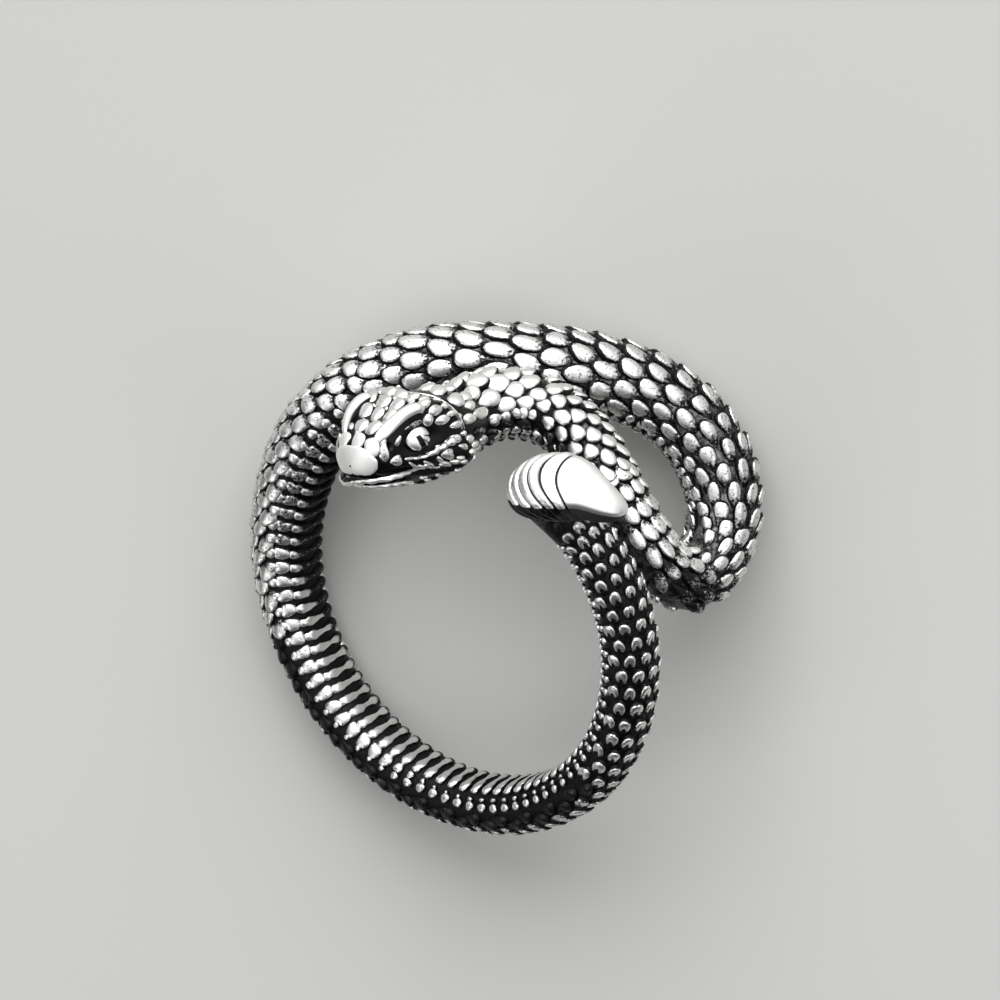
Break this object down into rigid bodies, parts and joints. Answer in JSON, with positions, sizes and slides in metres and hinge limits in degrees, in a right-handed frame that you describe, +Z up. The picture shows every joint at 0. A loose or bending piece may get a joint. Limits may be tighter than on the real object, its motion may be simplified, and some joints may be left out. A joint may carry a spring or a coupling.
{
  "type": "snake ring",
  "caption": "Open finger ring cast as a scaled rattlesnake wound once round the finger, head and rattle side by side.",
  "frame": {"origin": "on the ground, under the middle of the box of the ring as it lies on its side", "axes": "+Z up from the ground it rests on, +X towards the rattle's side, +Y towards the head's side of the band"},
  "size_m": [0.0262, 0.0264, 0.0173],
  "materials": {
    "silver": "polished crests with blackened hollows"
  },
  "bodies": {
    "root": {"snake_ring": "silver"}
  },
  "joints": []
}
